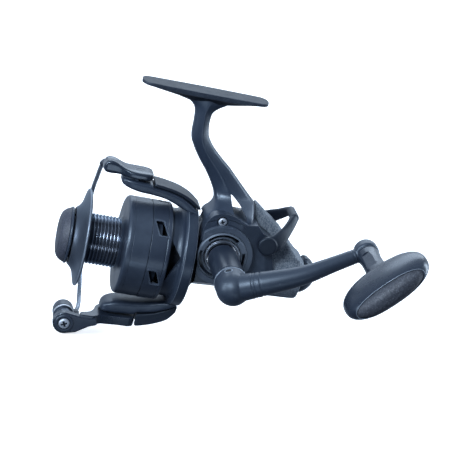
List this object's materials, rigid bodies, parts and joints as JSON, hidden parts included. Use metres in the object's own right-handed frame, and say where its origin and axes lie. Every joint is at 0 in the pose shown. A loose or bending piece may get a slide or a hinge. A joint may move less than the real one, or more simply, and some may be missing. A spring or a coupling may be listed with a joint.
{
  "type": "spinning reel",
  "caption": "Front-drag spinning reel with a folding-bail rotor, ribbed spool, rear freespool lever and tension knob, and a cranked handle with a paddle knob.",
  "frame": {"origin": "centre of the foot's top face, the face that lies against a rod's reel seat", "axes": "+Z out of the foot's top face, away from the reel; +X along the spool axis towards the tail, so the spool faces -X; -Y towards the handle"},
  "size_m": [0.1656, 0.1731, 0.1448],
  "materials": {
    "satin_black": "satin black moulding with a blue-grey sheen",
    "graphite_paint": "satin dark graphite-filled moulding",
    "grained_cover": "fine grained dark grey",
    "soft_rubber": "matt, finely grained",
    "anodised_black": "black anodised, satin",
    "steel": "bright",
    "wire_steel": "black finished wire",
    "brass": "machined",
    "alloy": "machined",
    "drag_felt": "pressed felt"
  },
  "bodies": {
    "frame": {"body_housing": "graphite_paint", "side_cover": "graphite_paint", "rear_cover": "grained_cover", "nose_housing": "graphite_paint", "guide_rod": "steel", "cover_screw_top": "steel", "cover_screw_rear": "steel", "cover_screw_front": "steel", "side_bearing_cap": "satin_black", "handle_socket_cap": "satin_black", "drive_bearing_near": "steel", "drive_bearing_far": "steel", "pinion_bearing": "steel", "clutch_housing": "alloy", "tension_plate": "steel", "tension_felt": "drag_felt"},
    "handle": {"handle_shank": "satin_black", "shank_collar": "alloy", "handle_arm": "anodised_black", "handle_pin": "steel", "knob_spindle": "steel", "drive_gear": "alloy"},
    "handle_knob": {"knob_body": "satin_black", "knob_insert": "soft_rubber"},
    "rotor": {"rotor": "graphite_paint", "arm_cover_upper": "satin_black", "arm_cover_lower": "satin_black", "rotor_nut": "brass", "clutch_sleeve": "steel", "bail_spring": "steel", "pinion_gear": "brass"},
    "bail": {"bail_lever": "satin_black", "roller_arm": "satin_black", "bail_pivot_screw_upper": "steel", "bail_pivot_screw_lower": "steel", "roller_screw": "steel", "roller_bush": "brass", "roller_washer": "alloy", "wire_cup": "satin_black", "bail_wire": "wire_steel"},
    "line_roller": {"line_roller": "alloy"},
    "oscillation": {"oscillation_gear": "brass"},
    "crosshead": {"crosshead": "brass"},
    "spool_shaft": {"main_shaft": "steel", "shaft_clip": "steel", "spool_seat": "satin_black"},
    "spool": {"spool": "anodised_black", "skirt_ring": "satin_black", "drag_felt_inner": "drag_felt", "drag_disc_inner": "steel", "drag_felt_outer": "drag_felt", "drag_disc_outer": "steel", "drag_clip": "steel"},
    "drag_adjuster": {"drag_knob": "anodised_black", "drag_knob_grip": "soft_rubber", "drag_nut": "brass", "drag_spring": "steel"},
    "tension_adjuster": {"rear_tension_knob": "satin_black"},
    "freespool": {"freespool_lever": "satin_black", "lever_shaft": "steel"}
  },
  "joints": [
    {"name": "handle_turn", "type": "hinge", "parent": "frame", "child": "handle", "pos_m": [0.0246, -0.04, -0.0823], "axis": [0, 1, 0], "continuous": true},
    {"name": "knob_turn", "type": "hinge", "parent": "handle", "child": "handle_knob", "pos_m": [0.0869, -0.09, -0.0506], "axis": [0, 1, 0], "continuous": true},
    {"name": "rotor_turn", "type": "hinge", "parent": "frame", "child": "rotor", "pos_m": [-0.0024, 0, -0.0928], "axis": [1, 0, 0], "continuous": true},
    {"name": "bail_swing", "type": "hinge", "parent": "rotor", "child": "bail", "pos_m": [-0.0254, 0, -0.0928], "axis": [0, 0, 1], "range_deg": [0, 95]},
    {"name": "line_roller_turn", "type": "hinge", "parent": "bail", "child": "line_roller", "pos_m": [-0.0493, -0.005, -0.1386], "axis": [0, 1, 0], "continuous": true},
    {"name": "oscillation_turn", "type": "hinge", "parent": "frame", "child": "oscillation", "pos_m": [0.04111, 0.008, -0.08841], "axis": [0, 1, 0], "continuous": true},
    {"name": "spool_stroke", "type": "slide", "parent": "frame", "child": "crosshead", "axis": [1, 0, 0], "range_m": [-0.006, 0.006]},
    {"name": "freespool_turn", "type": "hinge", "parent": "crosshead", "child": "spool_shaft", "pos_m": [0.0246, 0, -0.0928], "axis": [1, 0, 0], "continuous": true},
    {"name": "drag_slip", "type": "hinge", "parent": "spool_shaft", "child": "spool", "pos_m": [-0.0354, 0, -0.0928], "axis": [1, 0, 0], "continuous": true},
    {"name": "drag_adjust", "type": "hinge", "parent": "spool_shaft", "child": "drag_adjuster", "pos_m": [-0.0554, 0, -0.0928], "axis": [1, 0, 0], "range_deg": [-540, 540]},
    {"name": "tension_adjust", "type": "hinge", "parent": "frame", "child": "tension_adjuster", "pos_m": [0.0766, 0, -0.0928], "axis": [1, 0, 0], "range_deg": [-270, 270]},
    {"name": "freespool_lever_swing", "type": "hinge", "parent": "frame", "child": "freespool", "pos_m": [0.0481, 0, -0.0731], "axis": [0, 1, 0], "range_deg": [0, 24]}
  ],
  "couplings": [
    {"joint": "rotor_turn", "follows": "handle_turn", "ratio": -5.25},
    {"joint": "oscillation_turn", "follows": "handle_turn", "ratio": -0.6}
  ]
}
